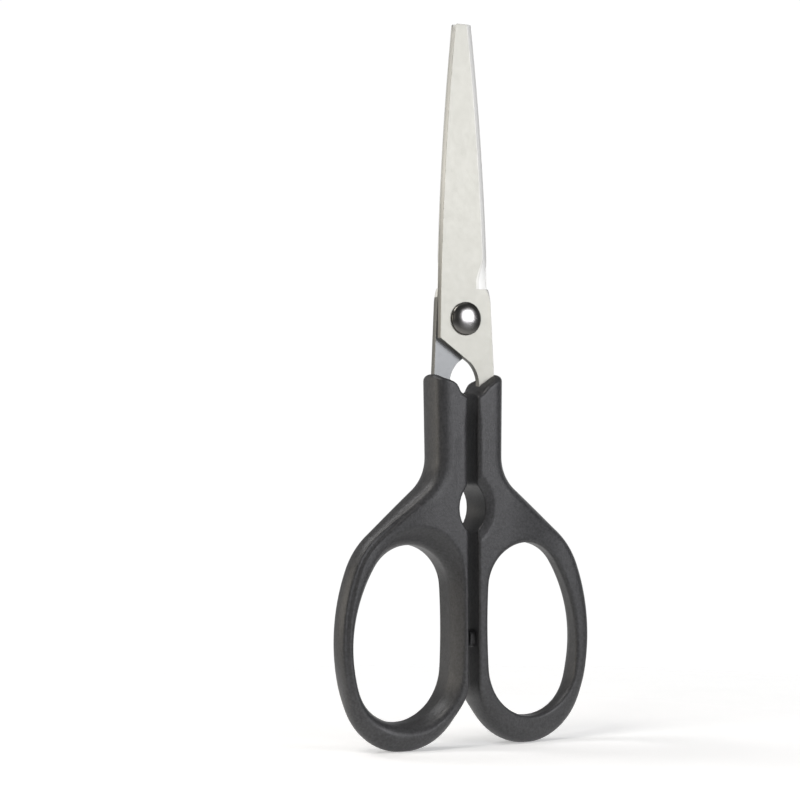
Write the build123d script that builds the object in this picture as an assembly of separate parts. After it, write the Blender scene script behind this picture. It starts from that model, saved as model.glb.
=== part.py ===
from build123d import *
import os
from math import hypot, sqrt

# Office scissors, standing on their loops with the tips up. X is the width, Y runs from the front to
# the back, Z is up. The pivot axis is the line X = 0, Z = pivot_height. All sizes are in millimetres.

# Pivot and rivet
pivot_height = 94.0
rivet_shank_diameter = 4.0
rivet_head_diameter = 7.35
rivet_head_rim = 0.35
rivet_head_height = 1.45
rivet_tail_diameter = 5.6
rivet_tail_height = 0.7
rivet_tail_crown_diameter = 4.2
running_clearance = 0.04
washer_diameter = 8.0
washer_thickness = 0.5

# Blades, measured up and down from the pivot
blade_thickness = 1.5
blade_reach = 65.0
belly_reach = 36.5
heel_reach = 5.6
tip_half_width = 2.2
belly_half_width = 4.75
heel_half_width = 6.15
tip_corner_radius = 0.5
edge_bevel_width = 1.7
edge_land = 0.15
ricasso_half_width = 6.35
ricasso_drop = 4.3
crotch_drop = 9.7
crotch_offset = 1.2
shank_start_drop = 14.6
tang_inner = 3.3
tang_outer = 7.25
tang_depth = 19.0
tang_hole_diameter = 2.0
tang_hole_depth = 12.0

# Handles
handle_drop = 12.3
handle_thickness = 9.6
gap = 2.5
shank_half_width = 8.4
scallop_depth = 3.9
shoulder_width = 1.2
shoulder_round = 0.8
flare_height = 59.4
hip_drop = 15.0
flare_neck_radius = 9.0
flare_hip_radius = 18.0
loop_half_width = 31.25
loop_side_radius = 44.75
loop_end_ease = 0.8
foot_flat = 5.0
rim_thickness = 6.0
rim_taper_start = 9.0
edge_round = 0.9

# Finger holes: the waist in the middle of the thickness, a small bevel in front and a wide one at the back
inner_bar = 2.95
outer_bar = 3.65
hole_floor = 6.0
arch_height = 14.9
hole_floor_ease = 0.12
hole_ceiling_ease = 1.9
hole_inner_radius = 150.0
hole_front_bevel = 0.5
hole_side_bevel = 1.2
hole_floor_bevel = 1.3
hole_ceiling_bevel = 3.8
mouth_floor_ease = 0.5
mouth_ceiling_ease = 2.1

# Gripping notch between the handles, and the stop ribs
notch_drop = 7.0
notch_depth = 2.2
notch_radius = 7.0
notch_chamfer = 1.0
notch_chamfer_depth = 3.3
stop_height = 23.7
stop_length = 4.4
stop_width = 7.0
stop_round = 0.8
stop_clearance = 0.05

# Values that follow from the ones above
half_clearance = running_clearance / 2
blade_back = half_clearance + blade_thickness
handle_top = pivot_height - handle_drop
half_gap = gap / 2
half_thickness = handle_thickness / 2
scallop_outer = shank_half_width - shoulder_width
shank_radius = rivet_shank_diameter / 2
hole_left = half_gap + inner_bar
hole_right = loop_half_width - outer_bar
hole_ceiling = flare_height - arch_height
notch_height = flare_height - notch_drop
loop_end_radius = (loop_half_width - half_gap) / 2 - loop_end_ease
foot_sagitta = loop_end_radius - sqrt(loop_end_radius ** 2 - (foot_flat / 2) ** 2)


def at(x, z, y=0.0):
    """A point given by its width and height."""
    return (x, y, z)


def slab(edges, front, back):
    """The closed outline in the XZ plane, filled from Y = front to Y = back."""
    face = make_face(edges)
    return extrude(Pos(0, front, 0) * face, back - front, dir=(0, 1, 0))


def rod(radius, front, back, x=0.0, z=0.0):
    """A cylinder along Y."""
    circle = Plane(origin=(x, front, z), z_dir=(0, 1, 0)) * Circle(radius)
    return extrude(circle, back - front, dir=(0, 1, 0))


def along(centre, through, radius):
    """The point at a radius from a centre, in the direction of a second point."""
    reach = hypot(through[0] - centre[0], through[1] - centre[1])
    share = radius / reach
    return (centre[0] + (through[0] - centre[0]) * share, centre[1] + (through[1] - centre[1]) * share)


def meet(centre_a, radius_a, centre_b, radius_b, side):
    """Where two circles cross, on the +X side of the line between them for side = 1."""
    dx, dz = centre_b[0] - centre_a[0], centre_b[1] - centre_a[1]
    reach = hypot(dx, dz)
    run = (radius_a ** 2 - radius_b ** 2 + reach ** 2) / (2 * reach)
    rise = sqrt(radius_a ** 2 - run ** 2)
    return (
        centre_a[0] + (dx * run + side * dz * rise) / reach,
        centre_a[1] + (dz * run - side * dx * rise) / reach,
    )


# ---- Blades ----

def blade_upper():
    """The cutting half of the front blade: spine on the left, bevelled edge on the right."""
    tip, heel, belly = pivot_height + blade_reach, pivot_height + heel_reach, pivot_height + belly_reach
    edges = [
        Line(at(-heel_half_width, heel), at(heel_half_width, heel)),
        ThreePointArc(at(heel_half_width, heel), at(belly_half_width, belly), at(tip_half_width, tip)),
        Line(at(tip_half_width, tip), at(-tip_half_width, tip)),
        ThreePointArc(at(-tip_half_width, tip), at(-belly_half_width, belly), at(-heel_half_width, heel)),
    ]
    solid = slab(edges, -blade_back, -half_clearance)
    upright = solid.edges().filter_by(Axis.Y).sort_by(Axis.Z)[-2:]
    solid = fillet(upright.sort_by(Axis.X)[:1], tip_corner_radius)
    outer_face = solid.faces().sort_by(Axis.Y)[0]
    cutting_edge = outer_face.edges().sort_by(Axis.X)[-1]
    depth = blade_thickness - edge_land
    return chamfer(cutting_edge, edge_bevel_width, depth, reference=outer_face)


def blade_lower():
    """The ricasso around the pivot, the shank and the tang of the front blade."""
    heel = pivot_height + heel_reach
    crotch = pivot_height - crotch_drop
    shank_start = pivot_height - shank_start_drop
    tang_end = handle_top - tang_depth
    edges = [
        Line(at(-heel_half_width, heel), at(ricasso_half_width, heel)),
        Line(at(ricasso_half_width, heel), at(tang_outer, shank_start)),
        Line(at(tang_outer, shank_start), at(tang_outer, tang_end)),
        Line(at(tang_outer, tang_end), at(tang_inner, tang_end)),
        Line(at(tang_inner, tang_end), at(tang_inner, shank_start)),
        TangentArc(at(tang_inner, shank_start), at(crotch_offset, crotch), tangent=(0, 0, 1)),
        Line(at(crotch_offset, crotch), at(-ricasso_half_width, pivot_height - ricasso_drop)),
        Line(at(-ricasso_half_width, pivot_height - ricasso_drop), at(-heel_half_width, heel)),
    ]
    return slab(edges, -blade_back, -half_clearance)


def make_blade(hole_clearance):
    """The front blade; the rear blade is the same piece turned half round the pivot line."""
    whole = blade_upper() + blade_lower()
    whole -= rod(shank_radius + hole_clearance, -2 * blade_back, blade_back, z=pivot_height)
    anchor_x = (tang_inner + tang_outer) / 2
    anchor_z = handle_top - tang_hole_depth
    whole -= rod(tang_hole_diameter / 2, -2 * blade_back, blade_back, x=anchor_x, z=anchor_z)
    return whole


# ---- Rivet ----

def turned(points):
    """A solid turned round the pivot axis from a half profile of (radius, Y) points and arcs."""
    face = make_face(points)
    return Pos(0, 0, pivot_height) * revolve(face, Axis.Y)


def make_rivet():
    """Domed head in front of the blades, plain shank through them, peened tail behind the washer."""
    head_radius, tail_radius = rivet_head_diameter / 2, rivet_tail_diameter / 2
    crown_radius = rivet_tail_crown_diameter / 2
    seat = -blade_back
    crown = seat - rivet_head_height
    rim = seat - rivet_head_rim
    dome = rivet_head_height - rivet_head_rim
    sphere = (head_radius ** 2 + dome ** 2) / (2 * dome)
    half_chord = head_radius / 2
    bulge = crown + sphere - sqrt(sphere ** 2 - half_chord ** 2)
    washer_back = blade_back + running_clearance + washer_thickness
    tail = washer_back + rivet_tail_height
    profile = [
        ThreePointArc((0, crown), (half_chord, bulge), (head_radius, rim)),
        Line((head_radius, rim), (head_radius, seat)),
        Line((head_radius, seat), (shank_radius, seat)),
        Line((shank_radius, seat), (shank_radius, washer_back)),
        Line((shank_radius, washer_back), (tail_radius, washer_back)),
        Line((tail_radius, washer_back), (crown_radius, tail)),
        Line((crown_radius, tail), (0, tail)),
        Line((0, tail), (0, crown)),
    ]
    return turned(profile)


def make_washer():
    """Flat washer between the rear blade and the rivet's peened tail."""
    front = blade_back + running_clearance
    back = front + washer_thickness
    disc = rod(washer_diameter / 2, front, back, z=pivot_height)
    return disc - rod(shank_radius, front, back, z=pivot_height)


# ---- Handles ----

def loop_circles():
    """Centres of the loop's end circle and side circle, which touch each other from inside."""
    end_centre = (half_gap + loop_end_radius, loop_end_radius - foot_sagitta)
    side_x = loop_half_width - loop_side_radius
    rise = sqrt((loop_side_radius - loop_end_radius) ** 2 - (end_centre[0] - side_x) ** 2)
    return end_centre, (side_x, end_centre[1] + rise)


def handle_outline():
    """The right handle seen from the front: straight gap side, round loop, flare and scalloped top."""
    end_centre, side_centre = loop_circles()
    touch = along(side_centre, end_centre, loop_side_radius)
    bottom = (end_centre[0], end_centre[1] - loop_end_radius)
    hip_height = flare_height - hip_drop
    hip_reach = sqrt(loop_side_radius ** 2 - (hip_height - side_centre[1]) ** 2)
    hip = (side_centre[0] + hip_reach, hip_height)
    mid = (side_centre[0] + loop_side_radius, side_centre[1])
    low = handle_top - scallop_depth
    edges = [
        Line(at(half_gap, low), at(half_gap, end_centre[1])),
        ThreePointArc(at(half_gap, end_centre[1]), at(*bottom), at(*touch)),
        ThreePointArc(at(*touch), at(*mid), at(*hip)),
        Line(at(*hip), at(shank_half_width, flare_height)),
        Line(at(shank_half_width, flare_height), at(shank_half_width, handle_top)),
        Line(at(shank_half_width, handle_top), at(scallop_outer, handle_top)),
        Line(at(scallop_outer, handle_top), at(half_gap, low)),
    ]
    face = make_face(edges).face()
    rounds = [
        (hip, flare_hip_radius),
        ((shank_half_width, flare_height), flare_neck_radius),
        ((shank_half_width, handle_top), shoulder_round),
        ((scallop_outer, handle_top), shoulder_round),
    ]
    for (x, z), radius in rounds:
        corner = face.vertices().sort_by_distance(at(x, z))[0]
        face = face.fillet_2d(radius, [corner])
    return face


def finger_hole(side_gain, floor_gain, ceiling_gain, floor_ease, ceiling_ease, y):
    """The finger hole's outline at depth Y: two end arcs, each narrower than the hole, and two side arcs."""
    left, right = hole_left - side_gain, hole_right + side_gain
    half_width = (right - left) / 2
    floor_radius, ceiling_radius = half_width - floor_ease, half_width - ceiling_ease
    low = (left + floor_radius, hole_floor - floor_gain + floor_radius)
    high = (left + ceiling_radius, hole_ceiling + ceiling_gain - ceiling_radius)
    inner = meet(low, hole_inner_radius - floor_radius, high, hole_inner_radius - ceiling_radius, 1)
    floor_pull, ceiling_pull = sqrt(ceiling_ease), sqrt(floor_ease)
    outer_z = (low[1] * floor_pull + high[1] * ceiling_pull) / (floor_pull + ceiling_pull)
    outer_radius = half_width + (outer_z - low[1]) ** 2 / (4 * floor_ease)
    outer = (right - outer_radius, outer_z)
    inner_low, inner_high = along(inner, low, hole_inner_radius), along(inner, high, hole_inner_radius)
    outer_low, outer_high = along(outer, low, outer_radius), along(outer, high, outer_radius)
    middle_z = (low[1] + high[1]) / 2
    inner_x = inner[0] - sqrt(hole_inner_radius ** 2 - (middle_z - inner[1]) ** 2)
    edges = [
        ThreePointArc(at(*inner_high, y), at(inner_x, middle_z, y), at(*inner_low, y)),
        ThreePointArc(at(*inner_low, y), at(low[0], low[1] - floor_radius, y), at(*outer_low, y)),
        ThreePointArc(at(*outer_low, y), at(right, outer_z, y), at(*outer_high, y)),
        ThreePointArc(at(*outer_high, y), at(high[0], high[1] + ceiling_radius, y), at(*inner_high, y)),
    ]
    return make_face(edges).face()


def hole_cutter():
    """Solid of the finger hole: narrowest at mid thickness, a little wider in front, flared at the back."""
    waist = finger_hole(0, 0, 0, hole_floor_ease, hole_ceiling_ease, 0)
    opening = (hole_front_bevel, hole_front_bevel, hole_front_bevel)
    front = finger_hole(*opening, hole_floor_ease, hole_ceiling_ease, -half_thickness)
    flare = (hole_side_bevel, hole_floor_bevel, hole_ceiling_bevel)
    back = finger_hole(*flare, mouth_floor_ease, mouth_ceiling_ease, half_thickness)
    return loft([front, waist], ruled=True) + loft([waist, back], ruled=True)


def thickness_envelope():
    """Full thickness at the shank and inner bar, thinning in a shallow arc to the loop's outer rim."""
    rim = rim_thickness / 2
    edges = [
        Line((0, -half_thickness), (rim_taper_start, -half_thickness)),
        TangentArc((rim_taper_start, -half_thickness), (loop_half_width, -rim), tangent=(1, 0)),
        Line((loop_half_width, -rim), (loop_half_width, rim)),
        TangentArc((rim_taper_start, half_thickness), (loop_half_width, rim), tangent=(1, 0)),
        Line((rim_taper_start, half_thickness), (0, half_thickness)),
        Line((0, half_thickness), (0, -half_thickness)),
    ]
    return extrude(make_face(edges), handle_top)


def notch_cutter():
    """Round-backed gripping notch in the gap side, chamfered at the front face."""
    centre_x = half_gap + notch_depth - notch_radius
    cutter = rod(notch_radius, -half_thickness, half_thickness, x=centre_x, z=notch_height)
    seat = Plane(origin=(centre_x, notch_chamfer_depth - half_thickness, notch_height), z_dir=(0, -1, 0))
    cone = loft([
        (seat * Circle(notch_radius)).face(),
        (seat.offset(notch_chamfer_depth) * Circle(notch_radius + notch_chamfer)).face(),
    ])
    return cutter + cone


def stop_rib():
    """Rib on the gap side that meets the other handle's rib when the scissors are shut."""
    reach = half_gap - stop_clearance
    rib = Pos(stop_clearance + reach, 0, stop_height) * Box(2 * reach, stop_width, stop_length)
    return fillet(rib.faces().sort_by(Axis.X)[0].edges().filter_by(Axis.Z), stop_round)


def face_rims(body):
    """The outer edges of the front and back faces, without the scallop and the taper's own start line."""
    rims = ShapeList()
    for edge in body.edges():
        box = edge.bounding_box()
        crosses_over = box.min.Y < 0 < box.max.Y
        on_taper_start = box.size.X < edge_round / 2 and abs(box.min.X - rim_taper_start) < edge_round / 2
        on_scallop = box.min.Z > handle_top - scallop_depth - edge_round and box.max.X < scallop_outer + edge_round
        if not (crosses_over or on_taper_start or on_scallop):
            rims.append(edge)
    return rims


def make_handle(tang):
    """The right handle, moulded round the tang that it holds."""
    body = extrude(Pos(0, -half_thickness, 0) * handle_outline(), handle_thickness, dir=(0, 1, 0))
    body = body & thickness_envelope()
    body = fillet(face_rims(body), edge_round)
    body -= hole_cutter()
    body -= notch_cutter()
    body += stop_rib()
    return body - tang


def half_turn(shape):
    """The piece turned half round the vertical line through the pivot."""
    return shape.rotate(Axis.Z, 180)


# ---- Assembly ----

def main():
    os.makedirs("parts", exist_ok=True)
    front_blade = make_blade(0)
    rear_blade = half_turn(make_blade(running_clearance))
    pieces = {
        "front_blade": front_blade,
        "rear_blade": rear_blade,
        "right_handle": make_handle(front_blade),
        "left_handle": half_turn(make_handle(half_turn(rear_blade))),
        "pivot_rivet": make_rivet(),
        "rivet_washer": make_washer(),
    }
    for name, shape in pieces.items():
        export_step(shape, f"parts/{name}.step")
        box = shape.bounding_box()
        print(name, shape.is_valid, round(shape.volume, 1), box.min, box.max)


main()
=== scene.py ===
from math import atan, cos, hypot, pi, radians, sin, sqrt
import bpy
import numpy as np
from mathutils import Matrix, Vector
from mathutils.geometry import tessellate_polygon


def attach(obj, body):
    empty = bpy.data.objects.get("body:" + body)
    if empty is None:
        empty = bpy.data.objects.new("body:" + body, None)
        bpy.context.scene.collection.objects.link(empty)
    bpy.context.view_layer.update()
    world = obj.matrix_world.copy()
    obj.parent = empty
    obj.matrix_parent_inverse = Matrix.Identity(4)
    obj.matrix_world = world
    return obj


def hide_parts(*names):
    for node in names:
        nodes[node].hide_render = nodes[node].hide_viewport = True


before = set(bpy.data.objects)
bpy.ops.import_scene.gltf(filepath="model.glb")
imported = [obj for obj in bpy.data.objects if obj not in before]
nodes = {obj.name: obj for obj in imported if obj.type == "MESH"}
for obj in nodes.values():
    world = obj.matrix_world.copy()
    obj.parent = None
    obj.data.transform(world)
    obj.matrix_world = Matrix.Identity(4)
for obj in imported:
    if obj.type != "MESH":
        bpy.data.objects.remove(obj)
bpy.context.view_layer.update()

# Office scissors. Shapes are worked out in millimetres and become metres in add_mesh; the camera, the
# lamps and the floor are in metres. X runs to the right, Y to the back, Z up; the pivot is on X = 0.

# The right handle. Its back (y > 0) is the grip side, with the wide bevel round the finger hole and the
# groove in the loop's rim; its front is plain. The left handle is the same moulding turned half round.
HALF_GAP = 1.25
HANDLE_TOP = 81.7
SHANK_SIDE = 8.4
SHANK_TOP_SIDE = 8.7
SCALLOP_LOW = 77.8
SCALLOP_OUTER = 7.2
SHOULDER_ROUND, LIP_ROUND = 0.7, 0.8
FLARE_HEIGHT = 59.4
HIP_HEIGHT = 44.4
NECK_RADIUS = 9.0
HIP_RADIUS = 18.0
LOOP_SIDE = 31.25
SIDE_RADIUS = 44.75
END_RADIUS = 14.2
FOOT_FLAT = 5.0

# Its thickness, from the middle plane to a face, which tapers towards the loop's rim, and towards the foot
# to FOOT_SHARE of itself
FACE = 4.8
RIM_FACE = 3.0
TAPER = (8.5, 24.0)
FOOT_SHARE = 0.86
FOOT_TAPER = (2.0, 15.0)

# Heights over which the loop's section turns into the shank's, and the shank's side into its domed top
SHANK_BLEND = (48.0, 60.0)
TOP_BLEND = (66.0, 74.0)
CROWN = 1.3
CROWN_BLEND = (70.0, 78.0)

# How far the outer side is rounded off, in the loop, in the shank and at the foot. On the grip side the
# shank has a nearly flat side instead, with a corner that is rounded over EDGE_DROP by EDGE_REACH. The
# rounding begins ROUND_CLEAR away from the gap, and below GAP_SIDE_BLEND it goes all round. FACE_EDGE is
# the blend of side and face, wider by the extra on the plain side and, at the gap, between two heights.
LOOP_ROUND = 1.1
SHANK_ROUND = 1.1
FOOT_ROUND_BACK, FOOT_ROUND_FRONT = 2.3, 1.3
FOOT_BLEND = (4.0, 16.0)
GAP_SIDE_BLEND = (5.0, 14.0)
ROUND_CLEAR = (1.2, 3.0)
SIDE_LEAN = 0.55
EDGE_DROP, EDGE_REACH = 1.9, 2.7
FACE_EDGE = 0.7
FACE_EDGE_EXTRA = 0.6
GAP_EDGE_START, GAP_EDGE_END = (52.0, 58.0), (70.0, 76.0)

# Groove along the loop's rim, by distance from the side: a step down, its floor and the rise to the plateau
STEP_DOWN, FLOOR_DOWN = 0.15, 0.4
GROOVE_WALL, GROOVE_RISE = (0.45, 1.15), (1.15, 1.85)
GROOVE_UPPER = (62.0, 68.0)
GROOVE_CLEAR = (2.1, 3.2)

# Finger hole: its waist, which holds on the plain side, and its wider mouth on the grip side. An EASE is
# how much smaller an end's radius is than half the width. MOUTH_EDGE is the blend of hole and face, at the
# back, at the front and, on top of that, at the foot of the back.
HOLE_INNER = 3.9
HOLE_OUTER = 27.6
HOLE_FLOOR = 6.0
HOLE_CEILING = 44.5
FLOOR_EASE = 0.12
CEILING_EASE = 1.9
INNER_RADIUS = 150.0
MOUTH_INNER, MOUTH_OUTER = HOLE_INNER - 1.3, HOLE_OUTER + 1.1
MOUTH_FLOOR, MOUTH_CEILING = HOLE_FLOOR - 1.4, HOLE_CEILING + 3.8
MOUTH_FLOOR_EASE, MOUTH_CEILING_EASE = 0.5, 2.6
MOUTH_EDGE_BACK, MOUTH_EDGE_FRONT = 0.6, 1.0
MOUTH_EDGE_FOOT = 1.2
MOUTH_EDGE_BLEND = (6.0, 18.0)

# Gripping notch, with a countersink that widens by its slope from a level below the plain face, and the
# stop rib
NOTCH_HEIGHT = 52.4
NOTCH_DEPTH = 2.2
NOTCH_RADIUS = 7.0
NOTCH_EDGE = 0.4
COUNTERSINK_LEVEL, COUNTERSINK_SLOPE = 4.0, 2.3
STOP_HEIGHT = 23.7
STOP_HALF_LENGTH, STOP_HALF_WIDTH = 1.75, 2.7
STOP_INNER = 0.1
STOP_ROUND, STOP_FACE_ROUND = 1.2, 0.5


def arc(centre, radius, start, end, step=0.25):
    """Points along an arc, in the XZ plane, from one angle to another."""
    count = max(3, int(abs(end - start) * radius / step) + 1)
    angles = np.linspace(start, end, count)
    return [(centre[0] + radius * cos(a), centre[1] + radius * sin(a)) for a in angles]


def corner(before, at, after, radius):
    """Points of the fillet that rounds the corner at a point between two straight lines."""
    a = np.array(before, float) - at
    b = np.array(after, float) - at
    a, b = a / np.hypot(*a), b / np.hypot(*b)
    half = np.arccos(np.clip(a @ b, -1, 1)) / 2
    middle = (a + b) / np.hypot(*(a + b))
    centre = np.array(at) + middle * radius / np.sin(half)
    first = np.array(at) + a * radius / np.tan(half) - centre
    last = np.array(at) + b * radius / np.tan(half) - centre
    start, end = np.arctan2(first[1], first[0]), np.arctan2(last[1], last[0])
    end = start + (end - start + pi) % (2 * pi) - pi
    return arc(centre, radius, start, end)


def angle_of(centre, point):
    """Direction of a point from a centre."""
    return float(np.arctan2(point[1] - centre[1], point[0] - centre[0]))


def handle_outline():
    """Closed outline of the handle: gap side, loop, flare, shank and scalloped top."""
    end_z = sqrt(END_RADIUS ** 2 - (FOOT_FLAT / 2) ** 2)
    end_centre = (HALF_GAP + END_RADIUS, end_z)
    side_x = LOOP_SIDE - SIDE_RADIUS
    rise = sqrt((SIDE_RADIUS - END_RADIUS) ** 2 - (end_centre[0] - side_x) ** 2)
    side_centre = (side_x, end_z + rise)
    touch = angle_of(side_centre, end_centre)
    hip = (side_x + sqrt(SIDE_RADIUS ** 2 - (HIP_HEIGHT - side_centre[1]) ** 2), HIP_HEIGHT)
    neck = (SHANK_SIDE, FLARE_HEIGHT)
    along = np.array(hip) - neck
    along /= np.hypot(*along)
    inward = np.array([along[1], -along[0]])
    base = np.array(neck) + inward * HIP_RADIUS - side_centre
    reach = -(base @ along) + sqrt((base @ along) ** 2 - base @ base + (SIDE_RADIUS - HIP_RADIUS) ** 2)
    hip_centre = tuple(np.array(side_centre) + base + along * reach)
    hip_start = angle_of(side_centre, hip_centre)
    hip_end = float(np.arctan2(-inward[1], -inward[0]))
    points = arc(end_centre, END_RADIUS, -pi, touch)
    points += arc(side_centre, SIDE_RADIUS, touch, hip_start)
    points += arc(hip_centre, HIP_RADIUS, hip_start, hip_end)
    shoulder, lip = (SHANK_TOP_SIDE, HANDLE_TOP), (SCALLOP_OUTER, HANDLE_TOP)
    dip = (HALF_GAP, SCALLOP_LOW)
    points += corner(hip, neck, shoulder, NECK_RADIUS)
    points += corner(neck, shoulder, lip, SHOULDER_ROUND)
    points += corner(shoulder, lip, dip, LIP_ROUND)
    points += [dip]
    return np.array(points)


def finger_hole(inner, outer, floor, ceiling, floor_ease, ceiling_ease):
    """Closed outline of the finger hole: two end arcs joined by two long side arcs."""
    half = (outer - inner) / 2
    low_radius, high_radius = half - floor_ease, half - ceiling_ease
    low, high = (inner + low_radius, floor + low_radius), (inner + high_radius, ceiling - high_radius)
    low_pull, high_pull = sqrt(floor_ease), sqrt(ceiling_ease)
    side_z = (low[1] * high_pull + high[1] * low_pull) / (low_pull + high_pull)
    side_radius = half + (side_z - low[1]) ** 2 / (4 * floor_ease)
    side = (outer - side_radius, side_z)
    reach = hypot(high[0] - low[0], high[1] - low[1])
    near, far = INNER_RADIUS - low_radius, INNER_RADIUS - high_radius
    run = (near ** 2 - far ** 2 + reach ** 2) / (2 * reach)
    lift = sqrt(near ** 2 - run ** 2)
    step = ((high[0] - low[0]) / reach, (high[1] - low[1]) / reach)
    inner_centre = (low[0] + step[0] * run + step[1] * lift, low[1] + step[1] * run - step[0] * lift)
    low_side, high_side = angle_of(side, low), angle_of(side, high)
    high_inner = angle_of(inner_centre, high) % (2 * pi)
    low_inner = angle_of(inner_centre, low) % (2 * pi)
    points = arc(side, side_radius, low_side, high_side)
    points += arc(high, high_radius, high_side, high_inner)
    points += arc(inner_centre, INNER_RADIUS, high_inner, low_inner)
    points += arc(low, low_radius, low_inner, low_side + 2 * pi)
    return np.array(points)


class Distance:
    """Signed distance to a closed outline in the XZ plane, positive inside, read from a fine grid."""
    step = 0.1
    low = (-2.0, -3.0)
    size = (360, 880)

    def __init__(self, outline):
        x = self.low[0] + np.arange(self.size[0]) * self.step
        z = self.low[1] + np.arange(self.size[1]) * self.step
        px, pz = np.meshgrid(x, z, indexing="ij")
        best = np.full(px.shape, 1e9)
        inside = np.zeros(px.shape, bool)
        for (ax, az), (bx, bz) in zip(outline, np.roll(outline, -1, axis=0)):
            dx, dz = bx - ax, bz - az
            length = dx * dx + dz * dz
            if length < 1e-12:
                continue
            t = np.clip(((px - ax) * dx + (pz - az) * dz) / length, 0, 1)
            best = np.minimum(best, (px - ax - t * dx) ** 2 + (pz - az - t * dz) ** 2)
            crosses = (az > pz) != (bz > pz)
            if dz != 0:
                inside ^= crosses & (px < ax + (pz - az) * dx / dz)
        self.grid = np.sqrt(best) * np.where(inside, 1, -1)

    def __call__(self, x, z):
        fx = np.clip((x - self.low[0]) / self.step, 0, self.size[0] - 1.001)
        fz = np.clip((z - self.low[1]) / self.step, 0, self.size[1] - 1.001)
        ix, iz = fx.astype(int), fz.astype(int)
        tx, tz = fx - ix, fz - iz
        g = self.grid
        low = g[ix, iz] * (1 - tx) + g[ix + 1, iz] * tx
        high = g[ix, iz + 1] * (1 - tx) + g[ix + 1, iz + 1] * tx
        return low * (1 - tz) + high * tz


def smooth_step(value, start, end):
    """Rises from 0 to 1 between start and end, or falls where end is the lower."""
    t = np.clip((value - start) / (end - start), 0, 1)
    return t * t * (3 - 2 * t)


def smooth_min(a, b, radius):
    """The lower of two distances, with the edge where they meet rounded over."""
    share = np.maximum(radius - np.abs(a - b), 0) / radius
    return np.minimum(a, b) - share * share * radius / 4


outline = Distance(handle_outline())
waist = Distance(finger_hole(HOLE_INNER, HOLE_OUTER, HOLE_FLOOR, HOLE_CEILING, FLOOR_EASE, CEILING_EASE))
mouth = Distance(finger_hole(
    MOUTH_INNER, MOUTH_OUTER, MOUTH_FLOOR, MOUTH_CEILING, MOUTH_FLOOR_EASE, MOUTH_CEILING_EASE))


def away_from_gap(x, z, start, end):
    """0 along the straight side at the gap, 1 on the rest of the handle and all round the foot."""
    return np.maximum(smooth_step(x, HALF_GAP + start, HALF_GAP + end), 1 - smooth_step(z, *GAP_SIDE_BLEND))


def side_rounding(depth, face, z, grip, shank):
    """How far the outer side falls back at a depth from the middle plane."""
    ratio = np.clip(depth / face, 0, 0.997)
    foot = 1 - smooth_step(z, *FOOT_BLEND)
    fall = LOOP_ROUND + SHANK_ROUND * shank + np.where(grip, FOOT_ROUND_BACK, FOOT_ROUND_FRONT) * foot
    oval = fall * (1 - np.sqrt(1 - ratio ** 2))
    turned = np.clip((depth - face) / EDGE_DROP + 1, 0, 0.997)
    flat = SIDE_LEAN * ratio ** 2 + EDGE_REACH * (1 - np.sqrt(1 - turned ** 2))
    return oval + (flat - oval) * np.where(grip, shank, 0)


def rim_groove(x, z, shank):
    """Depth of the groove in the loop's rim on the grip side."""
    upper = smooth_step(z, *GROOVE_UPPER)
    inset = outline(x, z) * (1 - upper) + (SHANK_SIDE - x) * upper
    wall = STEP_DOWN + (FLOOR_DOWN - STEP_DOWN) * smooth_step(inset, *GROOVE_WALL)
    rise = FLOOR_DOWN * (1 - smooth_step(inset, *GROOVE_RISE))
    return np.where(inset < GROOVE_RISE[0], wall, rise) * (1 - shank) * away_from_gap(x, z, *GROOVE_CLEAR)


def stop_rib(x, depth, z):
    """Rib in the gap that meets the other handle's rib when the scissors are shut."""
    rib = smooth_min(STOP_HALF_WIDTH - depth, STOP_HALF_LENGTH - np.abs(z - STOP_HEIGHT), STOP_ROUND)
    rib = smooth_min(rib, x - STOP_INNER, STOP_FACE_ROUND)
    return np.where(x < HALF_GAP + 1, rib, -1)


def handle_field(x, y, z):
    """Roughly the distance from the right handle's surface, positive inside."""
    grip = y > 0
    depth = np.abs(y)
    shank = smooth_step(z, *SHANK_BLEND)
    face = FACE - (FACE - RIM_FACE) * smooth_step(x, *TAPER)
    face = face * (FOOT_SHARE + (1 - FOOT_SHARE) * smooth_step(z, *FOOT_TAPER))
    # sides: rounded inwards, and along the shank's top straight across, so that the scallop stays sharp
    off_gap = away_from_gap(x, z, *ROUND_CLEAR)
    rounding = off_gap * side_rounding(depth, face, z, grip, shank)
    across = smooth_step(z, *TOP_BLEND)
    crown = CROWN * smooth_step(z, *CROWN_BLEND) * (depth / FACE) ** 2
    side = outline(x + rounding * across, z + crown) - rounding * (1 - across)
    # faces
    middle = smooth_step(z, *GAP_EDGE_START) - smooth_step(z, *GAP_EDGE_END)
    edge = FACE_EDGE + FACE_EDGE_EXTRA * ((1 - off_gap) * middle + np.where(grip, 0, off_gap))
    top = face - np.where(grip, rim_groove(x, z, shank), 0)
    result = smooth_min(side, top - depth, edge)
    # finger hole
    opening = np.clip(y / face, 0, 1) ** 1.5
    wall = -waist(x, z) * (1 - opening) - mouth(x, z) * opening
    foot_edge = MOUTH_EDGE_FOOT * (1 - smooth_step(z, *MOUTH_EDGE_BLEND))
    result = smooth_min(result, wall, np.where(grip, MOUTH_EDGE_BACK + foot_edge, MOUTH_EDGE_FRONT))
    # gripping notch
    countersink = np.maximum(-y - COUNTERSINK_LEVEL, 0) * COUNTERSINK_SLOPE
    notch_centre = HALF_GAP + NOTCH_DEPTH - NOTCH_RADIUS
    notch = np.hypot(x - notch_centre, z - NOTCH_HEIGHT) - NOTCH_RADIUS - countersink
    result = smooth_min(result, notch, NOTCH_EDGE)
    result = np.maximum(result, stop_rib(x, depth, z))
    return np.minimum(result, z)


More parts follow.
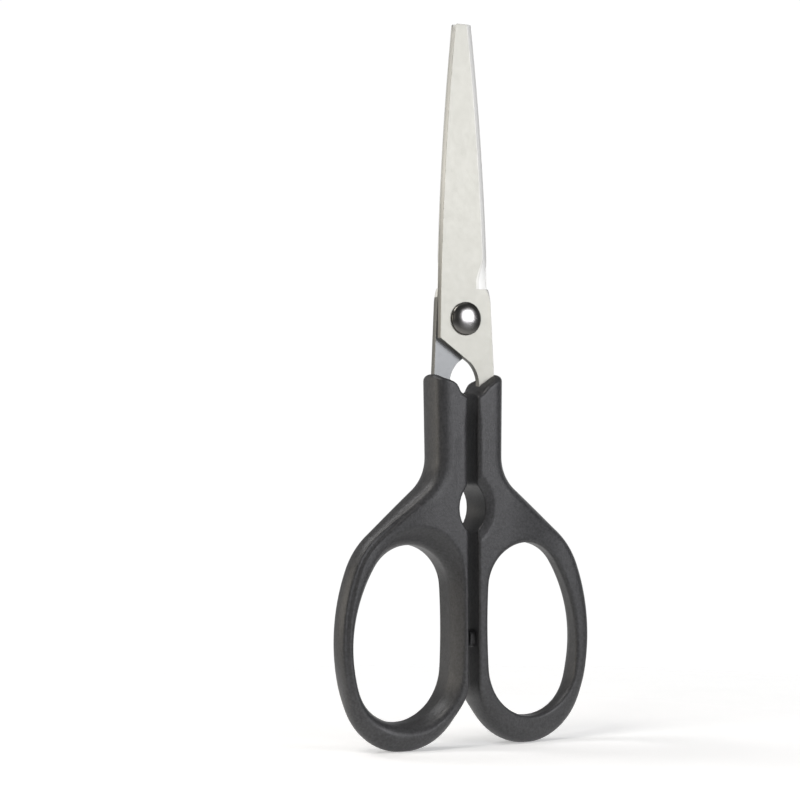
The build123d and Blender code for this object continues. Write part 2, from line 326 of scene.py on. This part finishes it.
def surface(field, low, high, step):
    """Quad mesh of the zero surface of a field, by surface nets, with its points moved onto the surface."""
    axes = [np.arange(a, b + step, step) for a, b in zip(low, high)]
    x, y, z = np.meshgrid(*axes, indexing="ij")
    values = field(x, y, z)
    inside = values > 0
    total = np.zeros(tuple(n - 1 for n in inside.shape) + (3,))
    count = np.zeros(total.shape[:3])
    grid = np.stack(np.meshgrid(*[np.arange(n) for n in values.shape], indexing="ij"), -1).astype(float)
    for axis in range(3):
        a = [slice(None)] * 3
        b = [slice(None)] * 3
        a[axis], b[axis] = slice(0, -1), slice(1, None)
        a, b = tuple(a), tuple(b)
        change = inside[a] != inside[b]
        fall = np.where(change, values[a] - values[b], 1)
        t = np.where(change, values[a] / fall, 0)
        place = grid[a].copy()
        place[..., axis] += t
        others = [k for k in range(3) if k != axis]
        for i in (0, 1):
            for j in (0, 1):
                pick = [slice(None)] * 3
                for k, offset in zip(others, (i, j)):
                    pick[k] = slice(offset, values.shape[k] - 1 + offset)
                pick[axis] = slice(0, values.shape[axis] - 1)
                pick = tuple(pick)
                total += place[pick] * change[pick][..., None]
                count += change[pick]
    used = count > 0
    index = np.full(used.shape, -1)
    index[used] = np.arange(used.sum())
    points = total[used] / count[used][:, None] * step + np.array([a[0] for a in axes])
    quads = []
    for axis in range(3):
        a = [slice(1, -1)] * 3
        b = [slice(1, -1)] * 3
        a[axis], b[axis] = slice(0, -1), slice(1, None)
        first, second = inside[tuple(a)], inside[tuple(b)]
        change = np.argwhere(first != second)
        if not len(change):
            continue
        flip = first[tuple(change.T)]
        base = change + 1
        base[:, axis] -= 1
        u, v = [k for k in range(3) if k != axis]
        ring = []
        for du, dv in ((1, 1), (0, 1), (0, 0), (1, 0)):
            cell = base.copy()
            cell[:, u] -= du
            cell[:, v] -= dv
            ring.append(index[tuple(cell.T)])
        ring = np.stack(ring, 1)
        if axis == 1:
            flip = ~flip
        ring[~flip] = ring[~flip][:, ::-1]
        quads.append(ring)
    quads = np.concatenate(quads)
    # five Newton steps towards the surface, none longer than half a grid step
    nudge = 0.02
    for _ in range(5):
        value = field(*points.T)
        slope = np.stack([
            (field(*(points + offset).T) - field(*(points - offset).T)) / (2 * nudge)
            for offset in np.eye(3) * nudge
        ], 1)
        size = np.maximum((slope ** 2).sum(1), 0.2)
        move = -(value / size)[:, None] * slope
        reach = np.maximum(np.linalg.norm(move, axis=1) / (step / 2), 1)
        points = points + move / reach[:, None]
    return points, quads


def add_mesh(name, points, faces, material, body, replaced, sharp=None, marks=None):
    """A piece that rides a body in place of a CAD node; edges of more than sharp degrees stay crisp."""
    mesh = bpy.data.meshes.new(name)
    mesh.from_pydata((points / 1000).tolist(), [], [list(map(int, face)) for face in faces])
    mesh.polygons.foreach_set("use_smooth", np.ones(len(mesh.polygons), bool))
    if sharp:
        mesh.set_sharp_from_angle(angle=radians(sharp))
    for key, values in (marks or {}).items():
        mesh.attributes.new(key, "FLOAT", "FACE").data.foreach_set("value", np.array(values, "f"))
    mesh.materials.append(material)
    mesh.update()
    piece = bpy.data.objects.new(name, mesh)
    bpy.context.scene.collection.objects.link(piece)
    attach(piece, body)
    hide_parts(replaced)


# The front blade and the rivet. The rear blade is the same piece turned half round. Points are (x, z).
PIVOT = 94.0
BLADE_FRONT, BLADE_BACK = -1.52, -0.02
EDGE_ROUND = 0.07
BACK_CHAMFER = 0.05
TIP, BELLY, HEEL = (2.2, 159.0), (4.75, 130.5), (6.15, 99.6)
TIP_ROUND = 0.5
RICASSO_SIDE = 6.35
CUT_START, CROTCH = 89.7, (1.2, 84.3)
CROTCH_BREAK = (0.25, 0.18)
TANG_TOP, TANG_END = 79.4, 62.7
TANG_INNER, TANG_OUTER = 3.3, 7.25

# Ground bevel of the cutting edge. It grows to twice its width from SPREAD_START down to SPREAD_END, and
# runs out into the ricasso from GRIND_END to RUN_OUT. The profile is (share of width, share of depth).
# Faces count as ground where the bevel is deeper than GROUND_FROM; MITRE_LIMIT tames sharp corners.
GRIND_WIDTH = 1.7
GRIND_DEPTH = 1.35
GRIND_PROFILE = ((1.0, 0.0), (0.8, 0.03), (0.25, 0.25), (0.0, 1.0))
SPREAD_START, SPREAD_END = 108.0, 102.0
GRIND_END = 100.6
RUN_OUT = 97.6
RUN_OUT_WIDTH = 0.9
RUN_OUT_GAP = 0.02
GROUND_FROM = 0.2
FACE_INSET = 0.08
MITRE_LIMIT = 0.6
HOLE_POINTS = 48


def circle_through(a, b, c):
    """Centre and radius of the circle through three points."""
    (ax, ay), (bx, by), (cx, cy) = a, b, c
    d = 2 * (ax * (by - cy) + bx * (cy - ay) + cx * (ay - by))
    aa, bb, cc = ax ** 2 + ay ** 2, bx ** 2 + by ** 2, cx ** 2 + cy ** 2
    ux = aa * (by - cy) + bb * (cy - ay) + cc * (ay - by)
    uy = aa * (cx - bx) + bb * (ax - cx) + cc * (bx - ax)
    centre = (ux / d, uy / d)
    return centre, hypot(ax - centre[0], ay - centre[1])


def blade_rim():
    """Outline of the front blade as (x, z, inset, depth), the last two being what is ground away there."""
    centre, radius = circle_through(HEEL, BELLY, TIP)
    rim = []
    heel_part = np.linspace(GRIND_END, SPREAD_START, 30)
    for z in np.concatenate([heel_part, np.linspace(SPREAD_START + 1, TIP[1], 60)]):
        x = centre[0] + sqrt(radius ** 2 - (z - centre[1]) ** 2)
        spread = float(smooth_step(z, SPREAD_START, SPREAD_END))
        rim.append((x, z, GRIND_WIDTH * (1 + spread), GRIND_DEPTH))
    plain = (EDGE_ROUND, EDGE_ROUND)
    rim.append((TIP[0] - GRIND_WIDTH - RUN_OUT_GAP, TIP[1], *plain))
    for x, z in arc((-TIP[0] + TIP_ROUND, TIP[1] - TIP_ROUND), TIP_ROUND, pi / 2, pi, 0.1):
        rim.append((x, z, *plain))
    for z in np.linspace(TIP[1] - 1.5, HEEL[1], 70):
        rim.append((-centre[0] - sqrt(radius ** 2 - (z - centre[1]) ** 2), z, *plain))
    rim.append((-RICASSO_SIDE, CUT_START, *plain))
    rim.append((CROTCH[0] - CROTCH_BREAK[0], CROTCH[1] + CROTCH_BREAK[1], *plain))
    bow = (TANG_INNER - CROTCH[0]) / 2 + (CROTCH[1] - TANG_TOP) ** 2 / (2 * (TANG_INNER - CROTCH[0]))
    turn = np.arcsin((CROTCH[1] - TANG_TOP) / bow)
    for x, z in arc((TANG_INNER - bow, TANG_TOP), bow, turn, 0):
        rim.append((x, z, *plain))
    tang = ((TANG_INNER, TANG_END), (TANG_OUTER, TANG_END), (TANG_OUTER, TANG_TOP))
    for x, z in (*tang, (RICASSO_SIDE, RUN_OUT)):
        rim.append((x, z, *plain))
    for share in np.linspace(0.06, 1, 16):
        ease = share ** 2
        x = RICASSO_SIDE + (rim[0][0] - RICASSO_SIDE) * share
        z = RUN_OUT + (GRIND_END - RUN_OUT_GAP - RUN_OUT) * share
        depth = EDGE_ROUND + (GRIND_DEPTH - EDGE_ROUND) * ease
        rim.append((x, z, EDGE_ROUND + RUN_OUT_WIDTH * ease, depth))
    return np.array(rim)


def blade_mesh(hole_radius):
    """Points, faces and per-face marks of the front blade: ground bevel with its painted highlight, sheared
    side, and inner face with its painted shade.
    """
    rim = blade_rim()
    flat = rim[:, :2]
    ahead = np.roll(flat, -1, axis=0) - flat
    ahead /= np.linalg.norm(ahead, axis=1)[:, None]
    before = np.roll(ahead, 1, axis=0)
    inward_ahead = np.stack([-ahead[:, 1], ahead[:, 0]], 1)
    inward_before = np.stack([-before[:, 1], before[:, 0]], 1)
    inward = inward_ahead + inward_before
    inward /= np.maximum((inward * inward).sum(1), MITRE_LIMIT)[:, None] / 2
    # the bevel meets the tip's end square, without a mitre
    last_ground = (rim[:, 2] > 1) & (np.roll(rim[:, 2], -1) < 1)
    inward[last_ground] = inward_before[last_ground]
    count = len(rim)
    inset, depth = rim[:, 2:3], rim[:, 3]
    turn = np.linspace(0, 2 * pi, HOLE_POINTS, endpoint=False)
    ring = np.stack([hole_radius * np.cos(turn), PIVOT + hole_radius * np.sin(turn)], 1)

    def level(points, y):
        return np.stack([points[:, 0], np.broadcast_to(y, len(points)), points[:, 1]], 1)

    levels = [level(flat + inward * (inset + FACE_INSET), BLADE_FRONT)]
    for inward_share, depth_share in GRIND_PROFILE:
        levels.append(level(flat + inward * inset * inward_share, BLADE_FRONT + depth * depth_share))
    levels += [
        level(flat, BLADE_BACK - BACK_CHAMFER),
        level(flat + inward * BACK_CHAMFER, BLADE_BACK),
        level(ring, BLADE_FRONT),
        level(ring, BLADE_BACK),
    ]
    last = len(levels) - 3
    points = np.concatenate(levels)
    faces, grind_glint, side, inner = [], [], [], []
    for band in range(last):
        for i in range(count):
            j = (i + 1) % count
            a, b = band * count, (band + 1) * count
            faces.append((a + i, b + i, b + j, a + j))
            ground = 0 < band < last - 1 and min(depth[i], depth[j]) > GROUND_FROM
            # ground faces ramp up across the bevel's bands: a painted highlight on top of the ground finish
            grind_glint.append(min(band / 3, 1.0) if ground else 0.0)
            # sheared side faces get the mark that carries the painted light
            side.append(1.0 if band == last - 2 and not ground else 0.0)
            inner.append(0.0)
    front_hole = (last + 1) * count
    back_hole = front_hole + HOLE_POINTS
    for outer, hole, flip in ((0, front_hole, False), (last * count, back_hole, True)):
        index = list(range(outer, outer + count)) + list(range(hole, hole + HOLE_POINTS))
        corners = [Vector(points[k]) for k in index]
        loops = [corners[:count], corners[count:]]
        for triangle in tessellate_polygon(loops):
            a, b, c = (index[k] for k in triangle)
            across = np.cross(points[b] - points[a], points[c] - points[a])[1]
            if abs(across) < 1e-9:
                continue
            faces.append((a, b, c) if (across > 0) == flip else (a, c, b))
            grind_glint.append(0.0)
            side.append(0.0)
            # the inner face gets the painted shade mark
            inner.append(1.0 if flip else 0.0)
    for i in range(HOLE_POINTS):
        j = (i + 1) % HOLE_POINTS
        faces.append((front_hole + i, front_hole + j, back_hole + j, back_hole + i))
        grind_glint.append(0.0)
        side.append(1.0)
        inner.append(0.0)
    return points, faces, {"grind_glint": grind_glint, "sheared": side, "inner_face_shade": inner}


# The rivet, and its running hole in the rear blade. The dome's height is (1 - r ** first) ** second, where
# r is the share of the head's radius. The dimples are (radius, depth below the tail's end).
HEAD_RADIUS, HEAD_RIM, HEAD_HEIGHT = 3.675, 0.35, 1.45
DOME_POWERS = (2.05, 0.6)
SHANK_RADIUS, TAIL_SEAT, TAIL_RADIUS, TAIL_CROWN, TAIL_HEIGHT = 2.0, 2.06, 2.8, 2.1, 0.7
TAIL_INSET = 0.5
DIMPLE_RIM, DIMPLE_FLOOR = (1.0, 0.06), (0.6, 0.2)
DIMPLE_DEPTH = 0.24
SMALL_BREAK, TAIL_BREAK = 0.06, 0.08
RUNNING_HOLE = 2.04


def rivet_mesh():
    """Rivet turned round the pivot line: domed polished head, shank, and peened tail with a dimple."""
    profile = [(0.0, BLADE_FRONT - HEAD_HEIGHT)]
    for share in np.linspace(0.04, 1, 26):
        radius = HEAD_RADIUS * sin(share * pi / 2)
        height = (1 - (radius / HEAD_RADIUS) ** DOME_POWERS[0]) ** DOME_POWERS[1]
        profile.append((radius, BLADE_FRONT - HEAD_RIM - (HEAD_HEIGHT - HEAD_RIM) * height))
    profile += [(HEAD_RADIUS, BLADE_FRONT - SMALL_BREAK), (HEAD_RADIUS - SMALL_BREAK, BLADE_FRONT)]
    profile += [(SHANK_RADIUS, BLADE_FRONT), (SHANK_RADIUS, TAIL_SEAT)]
    profile += [(TAIL_RADIUS - TAIL_BREAK, TAIL_SEAT), (TAIL_RADIUS, TAIL_SEAT + TAIL_BREAK)]
    crown = TAIL_CROWN - TAIL_INSET
    for share in np.linspace(0.1, 1, 10):
        angle = share * pi / 2
        radius = crown + (TAIL_RADIUS - crown) * cos(angle)
        profile.append((radius, TAIL_SEAT + TAIL_BREAK + (TAIL_HEIGHT - TAIL_BREAK) * sin(angle)))
    tail_end = TAIL_SEAT + TAIL_HEIGHT
    profile += [(radius, tail_end - drop) for radius, drop in (DIMPLE_RIM, DIMPLE_FLOOR)]
    profile.append((0.0, tail_end - DIMPLE_DEPTH))
    return turned(profile, 72)


def turned(profile, count):
    """Points and faces of a profile of (radius, y) turned round the pivot line; both ends lie on it."""
    turn = np.linspace(0, 2 * pi, count, endpoint=False)
    points = [(0, profile[0][1], PIVOT)]
    for radius, y in profile[1:-1]:
        points += [(radius * cos(a), y, PIVOT + radius * sin(a)) for a in turn]
    points.append((0, profile[-1][1], PIVOT))
    faces = [(0, 1 + i, 1 + (i + 1) % count) for i in range(count)]
    for ring in range(len(profile) - 3):
        a, b = 1 + ring * count, 1 + (ring + 1) * count
        for i in range(count):
            j = (i + 1) % count
            faces.append((a + i, b + i, b + j, a + j))
    last, a = len(points) - 1, 1 + (len(profile) - 3) * count
    faces += [(last, a + (i + 1) % count, a + i) for i in range(count)]
    return np.array(points, float), faces


# Camera: it looks from the left, nearly level; the rest are pixels of the 800 by 800 frame
VIEW_AZIMUTH = radians(29.5)
VIEW_DISTANCE = 0.480
VIEW_HEIGHT = 0.068
FOCAL_PIXELS = 2175.0
AXIS_RIGHT = 62.7
HORIZON_DOWN = 37.0
ROLL = radians(-0.23)
FRAME_PIXELS, SENSOR = 800, 36.0


def add_camera():
    """Camera at the photograph's viewing angle, with the pivot line a little right of the middle."""
    data = bpy.data.cameras.new("camera")
    data.sensor_width = SENSOR
    data.lens = FOCAL_PIXELS / FRAME_PIXELS * SENSOR
    data.clip_start, data.clip_end = 0.01, 20
    camera = bpy.data.objects.new("camera", data)
    bpy.context.scene.collection.objects.link(camera)
    yaw = VIEW_AZIMUTH - atan(AXIS_RIGHT / FOCAL_PIXELS)
    pitch = atan(HORIZON_DOWN / FOCAL_PIXELS)
    forward = Vector((sin(yaw) * cos(pitch), cos(yaw) * cos(pitch), sin(pitch)))
    turn = forward.to_track_quat("-Z", "Y").to_matrix().to_4x4() @ Matrix.Rotation(ROLL, 4, "Z")
    place = (-VIEW_DISTANCE * sin(VIEW_AZIMUTH), -VIEW_DISTANCE * cos(VIEW_AZIMUTH), VIEW_HEIGHT)
    camera.matrix_world = Matrix.Translation(place) @ turn
    bpy.context.scene.camera = camera


# Colours of the materials, as linear reflectance
STEEL = (0.443, 0.438, 0.396), (0.463, 0.458, 0.417)
# Inner faces of the blades: painted darker and bluer, as painted shade between the blades
INNER_FACE_SHADE = (0.295, 0.302, 0.304)
# Ground bevel: brighter than the flats for its ground finish, and brighter still as a painted highlight
BEVEL_GLINT = (0.9, 0.9, 0.88)
# Sheared sides of the blades: painted lighter higher up as painted light, blended over these heights in
# metres
SIDE_SHADED_LOW, SIDE_LIT_HIGH = (0.25, 0.248, 0.235), (0.62, 0.625, 0.605)
SIDE_LIGHT_BLEND = (0.100, 0.125)
PLASTIC = (0.020, 0.0200, 0.0210), (0.052, 0.0520, 0.0545)
RIVET = (0.40, 0.39, 0.385), (0.48, 0.47, 0.465)
# Rim of the rivet's dome: painted dark as painted shade and reflection, blended in over these distances in
# metres from the pivot line
RIVET_RIM_SHADE = (0.16, 0.155, 0.146)
RIM_SHADE_BLEND = (0.0014, 0.0026)


def new_material(name, metallic, cloud_scale, colours, roughness):
    """Principled material whose colour and roughness drift between two values."""
    material = bpy.data.materials.new(name)
    material.use_nodes = True
    tree = material.node_tree
    shader = tree.nodes["Principled BSDF"]
    shader.inputs["Metallic"].default_value = metallic
    place = tree.nodes.new("ShaderNodeTexCoord").outputs["Object"]
    cloud = noise(tree, place, cloud_scale, 5, 0.62)
    drift = tree.nodes.new("ShaderNodeValToRGB")
    for element, position, colour in zip(drift.color_ramp.elements, (0.3, 0.7), colours):
        element.position = position
        element.color = (*colour, 1)
    tree.links.new(cloud, drift.inputs["Fac"])
    tree.links.new(drift.outputs["Color"], shader.inputs["Base Color"])
    rough = span(tree, noise(tree, place, 900, 4, 0.6), 0.3, 0.7, *roughness)
    tree.links.new(rough, shader.inputs["Roughness"])
    return material, tree, shader, place


def noise(tree, place, scale, detail, roughness, stretch=(1, 1, 1)):
    """Noise texture over the object's own coordinates."""
    mapping = tree.nodes.new("ShaderNodeMapping")
    mapping.inputs["Scale"].default_value = stretch
    tree.links.new(place, mapping.inputs["Vector"])
    texture = tree.nodes.new("ShaderNodeTexNoise")
    texture.inputs["Scale"].default_value = scale
    texture.inputs["Detail"].default_value = detail
    texture.inputs["Roughness"].default_value = roughness
    tree.links.new(mapping.outputs["Vector"], texture.inputs["Vector"])
    return texture.outputs["Fac"]


def span(tree, value, from_low, from_high, to_low, to_high):
    """Value carried over from one range to another, and held at its ends."""
    node = tree.nodes.new("ShaderNodeMapRange")
    node.inputs["From Min"].default_value = from_low
    node.inputs["From Max"].default_value = from_high
    node.inputs["To Min"].default_value = to_low
    node.inputs["To Max"].default_value = to_high
    tree.links.new(value, node.inputs["Value"])
    return node.outputs["Result"]


def bump(tree, shader, heights):
    """Adds up relief given as (height source, depth in metres) pairs."""
    normal = None
    for source, depth in heights:
        node = tree.nodes.new("ShaderNodeBump")
        node.inputs["Strength"].default_value = 1.0
        node.inputs["Distance"].default_value = depth
        tree.links.new(source, node.inputs["Height"])
        if normal:
            tree.links.new(normal, node.inputs["Normal"])
        normal = node.outputs["Normal"]
    tree.links.new(normal, shader.inputs["Normal"])


def mark(tree, name):
    """Per-face mark of a mesh."""
    node = tree.nodes.new("ShaderNodeAttribute")
    node.attribute_name = name
    return node.outputs["Fac"]


def blend(tree, share, first, second):
    """Colour that goes from the first to the second with a share; each is a socket or a constant."""
    node = tree.nodes.new("ShaderNodeMix")
    node.data_type = "RGBA"
    tree.links.new(share, node.inputs["Factor"])
    for socket, colour in ((node.inputs[6], first), (node.inputs[7], second)):
        if isinstance(colour, tuple):
            socket.default_value = (*colour, 1)
        else:
            tree.links.new(colour, socket)
    return node.outputs[2]


def plastic_material():
    """Charcoal moulded plastic with a fine spark-eroded texture."""
    material, tree, shader, place = new_material("handle_plastic", 0, 1800, PLASTIC, (0.36, 0.44))
    shader.inputs["Specular IOR Level"].default_value = 0.5
    bump(tree, shader, [
        (noise(tree, place, 2600, 3, 0.65), 0.00004),
        (noise(tree, place, 9000, 2, 0.5), 0.000008),
    ])
    return material


def steel_material():
    """Satin stainless steel: mottled flats, ground bevels brightened by a painted highlight, inner faces
    darkened by painted shade, and sheared sides painted lighter towards the top.
    """
    material, tree, shader, place = new_material("blade_steel", 1, 420, STEEL, (0.49, 0.52))
    flats = shader.inputs["Base Color"].links[0].from_socket
    # inner faces: painted shade
    faces = blend(tree, mark(tree, "inner_face_shade"), flats, INNER_FACE_SHADE)
    # ground bevels: ground finish plus a painted highlight
    ground = blend(tree, mark(tree, "grind_glint"), faces, BEVEL_GLINT)
    height = tree.nodes.new("ShaderNodeSeparateXYZ")
    tree.links.new(place, height.inputs[0])
    # sheared sides: painted light, lighter towards the top
    side_light = blend(tree, span(tree, height.outputs["Z"], *SIDE_LIGHT_BLEND, 0, 1), SIDE_SHADED_LOW, SIDE_LIT_HIGH)
    tree.links.new(blend(tree, mark(tree, "sheared"), ground, side_light), shader.inputs["Base Color"])
    bump(tree, shader, [
        (noise(tree, place, 6000, 3, 0.6, (1, 1, 0.05)), 0.0000005),
        (noise(tree, place, 3600, 3, 0.6), 0.0000004),
    ])
    return material


def rivet_material():
    """Polished stainless rivet with a bright crown; its domed rim is painted dark, as painted shade and
    reflection.
    """
    material, tree, shader, place = new_material("rivet_metal", 1, 300, RIVET, (0.21, 0.28))
    crown = shader.inputs["Base Color"].links[0].from_socket
    flat = tree.nodes.new("ShaderNodeVectorMath")
    flat.operation = "MULTIPLY"
    flat.inputs[1].default_value = (1, 0, 1)
    tree.links.new(place, flat.inputs[0])
    reach = tree.nodes.new("ShaderNodeVectorMath")
    reach.operation = "DISTANCE"
    reach.inputs[1].default_value = (0, 0, PIVOT / 1000)
    tree.links.new(flat.outputs["Vector"], reach.inputs[0])
    # the dome's rim: painted shade and reflection, darker away from the pivot line
    rim = span(tree, reach.outputs["Value"], *RIM_SHADE_BLEND, 0, 1)
    tree.links.new(blend(tree, rim, crown, RIVET_RIM_SHADE), shader.inputs["Base Color"])
    bump(tree, shader, [(noise(tree, place, 1500, 4, 0.7), 0.0000012)])
    return material


# Soft lamps: name, azimuth, elevation, distance, width, height, radiance, colour. The azimuth runs from the
# front towards +X, in degrees. The last but one stands for the white backdrop's right end.
SOFTBOXES = (
    ("front", 27, 12, 0.75, 0.42, 0.34, 5.8, (0.965, 0.965, 1.0)),
    ("left_low", -108, 8, 0.7, 0.85, 0.35, 2.2, (1.0, 0.93, 0.82)),
    ("left_high", -70, 55, 0.7, 0.24, 0.24, 9.0, (1.0, 0.97, 0.93)),
    ("left_fill", -38, 12, 0.7, 0.3, 0.35, 0.4, (1.0, 0.97, 0.92)),
    ("back_high", -135, 50, 0.7, 0.24, 0.24, 6.0, (1.0, 1.0, 1.0)),
    ("right_sweep", 118, 8, 0.8, 0.8, 0.5, 1.0, (1.0, 1.0, 1.0)),
    ("top", 0, 88, 0.8, 0.9, 0.9, 0.3, (1.0, 1.0, 1.0)),
)
LAMP_TARGET = Vector((0, 0, 0.07))


def softbox(name, azimuth, elevation, distance, width, height, radiance, colour):
    """Rectangular lamp aimed at the scissors."""
    data = bpy.data.lights.new(name, "AREA")
    data.shape = "RECTANGLE"
    data.size, data.size_y = width, height
    data.energy = radiance * pi * width * height
    data.color = colour
    lamp = bpy.data.objects.new(name, data)
    a, e = radians(azimuth), radians(elevation)
    lamp.location = LAMP_TARGET + distance * Vector((sin(a) * cos(e), -cos(a) * cos(e), sin(e)))
    lamp.rotation_euler = (LAMP_TARGET - lamp.location).to_track_quat("-Z", "Y").to_euler()
    bpy.context.scene.collection.objects.link(lamp)


# The floor, in metres: half its side, and the distances between which it fades out
FLOOR_SIDE = 0.6
FLOOR_FADE = (0.07, 0.2)
FLOOR_TONE = (0.9, 0.94)
FLOOR_GLOW = 0.32


def add_floor():
    """Pale floor that fades into the white backdrop."""
    signs = ((-1, -1), (1, -1), (1, 1), (-1, 1))
    points = [(x * FLOOR_SIDE, y * FLOOR_SIDE, 0) for x, y in signs]
    mesh = bpy.data.meshes.new("floor")
    mesh.from_pydata(points, [], [(0, 1, 2, 3)])
    floor = bpy.data.objects.new("floor", mesh)
    bpy.context.scene.collection.objects.link(floor)
    material = bpy.data.materials.new("floor")
    material.use_nodes = True
    tree = material.node_tree
    shader = tree.nodes["Principled BSDF"]
    place = tree.nodes.new("ShaderNodeTexCoord").outputs["Object"]
    tone = span(tree, noise(tree, place, 40, 4, 0.6), 0.3, 0.7, *FLOOR_TONE)
    tree.links.new(tone, shader.inputs["Base Color"])
    shader.inputs["Roughness"].default_value = 0.9
    shader.inputs["Specular IOR Level"].default_value = 0.1
    shader.inputs["Emission Color"].default_value = (1, 1, 1, 1)
    shader.inputs["Emission Strength"].default_value = FLOOR_GLOW
    length = tree.nodes.new("ShaderNodeVectorMath")
    length.operation = "LENGTH"
    tree.links.new(place, length.inputs[0])
    tree.links.new(span(tree, length.outputs["Value"], *FLOOR_FADE, 1, 0), shader.inputs["Alpha"])
    mesh.materials.append(material)


def arithmetic(tree, operation, first, second=None):
    """Result of a maths node on one or two sources."""
    node = tree.nodes.new("ShaderNodeMath")
    node.operation = operation
    tree.links.new(first, node.inputs[0])
    if second:
        tree.links.new(second, node.inputs[1])
    return node.outputs[0]


# The world. The spans are parts of the unit direction in which a ray leaves.
BACKDROP = 1.02
ROOM_COLOUR = (0.97, 0.985, 1.0, 1)
ROOM_GLOW, TABLE_GLOW, SWEEP_GLOW = 0.12, 0.6, 0.3
TABLE_DOWN = (-0.15, -0.5)
SWEEP_BACK, SWEEP_LEVEL = (0.6, 0.85), (0.15, 0.4)


def add_world():
    """White backdrop for the eye; in reflections a dim room with a pale table and a white sweep behind."""
    world = bpy.data.worlds.new("world")
    world.use_nodes = True
    tree = world.node_tree
    backdrop = tree.nodes["Background"]
    backdrop.inputs["Color"].default_value = (1, 1, 1, 1)
    backdrop.inputs["Strength"].default_value = BACKDROP
    room = tree.nodes.new("ShaderNodeBackground")
    room.inputs["Color"].default_value = ROOM_COLOUR
    aim = tree.nodes.new("ShaderNodeSeparateXYZ")
    tree.links.new(tree.nodes.new("ShaderNodeTexCoord").outputs["Generated"], aim.inputs[0])
    behind = span(tree, aim.outputs["Y"], *SWEEP_BACK, 0, SWEEP_GLOW)
    level = span(tree, arithmetic(tree, "ABSOLUTE", aim.outputs["Z"]), *SWEEP_LEVEL, 1, 0)
    sweep = arithmetic(tree, "MULTIPLY", behind, level)
    table = span(tree, aim.outputs["Z"], *TABLE_DOWN, ROOM_GLOW, TABLE_GLOW)
    tree.links.new(arithmetic(tree, "ADD", sweep, table), room.inputs["Strength"])
    mix = tree.nodes.new("ShaderNodeMixShader")
    eye = tree.nodes.new("ShaderNodeLightPath").outputs["Is Camera Ray"]
    tree.links.new(eye, mix.inputs["Fac"])
    tree.links.new(room.outputs["Background"], mix.inputs[1])
    tree.links.new(backdrop.outputs["Background"], mix.inputs[2])
    tree.links.new(mix.outputs["Shader"], tree.nodes["World Output"].inputs["Surface"])
    bpy.context.scene.world = world


plastic = plastic_material()
steel = steel_material()
rivet_metal = rivet_material()
for name, node in nodes.items():
    node.data.materials.clear()
    metal = rivet_metal if name == "pivot_rivet" else steel
    node.data.materials.append(plastic if "handle" in name else metal)

# Half a turn about the vertical line, and the box and the step in which the handle's surface is looked for
HALF_TURN = np.array((-1, -1, 1))
FIELD_LOW, FIELD_HIGH, FIELD_STEP = (-0.35, -5.6, -0.9), (32.3, 5.6, 82.6), 0.3
grip, grip_faces = surface(handle_field, FIELD_LOW, FIELD_HIGH, FIELD_STEP)
add_mesh("right_handle_grip", grip, grip_faces, plastic, "right_half", "right_handle")
grip = grip * HALF_TURN
add_mesh("left_handle_grip", grip, grip_faces, plastic, "left_half", "left_handle")

blades = (
    ("front_blade", "right_half", SHANK_RADIUS, 1),
    ("rear_blade", "left_half", RUNNING_HOLE, HALF_TURN),
)
for name, body, hole_radius, turning in blades:
    blade, blade_faces, marks = blade_mesh(hole_radius)
    add_mesh(name + "_ground", blade * turning, blade_faces, steel, body, name, 20, marks)
rivet, rivet_faces = rivet_mesh()
add_mesh(
    "pivot_rivet_domed", rivet, rivet_faces, rivet_metal, "right_half", "pivot_rivet", 30)

add_camera()
add_world()
add_floor()
for lamp in SOFTBOXES:
    softbox(*lamp)
bpy.context.scene.view_settings.view_transform = "Standard"
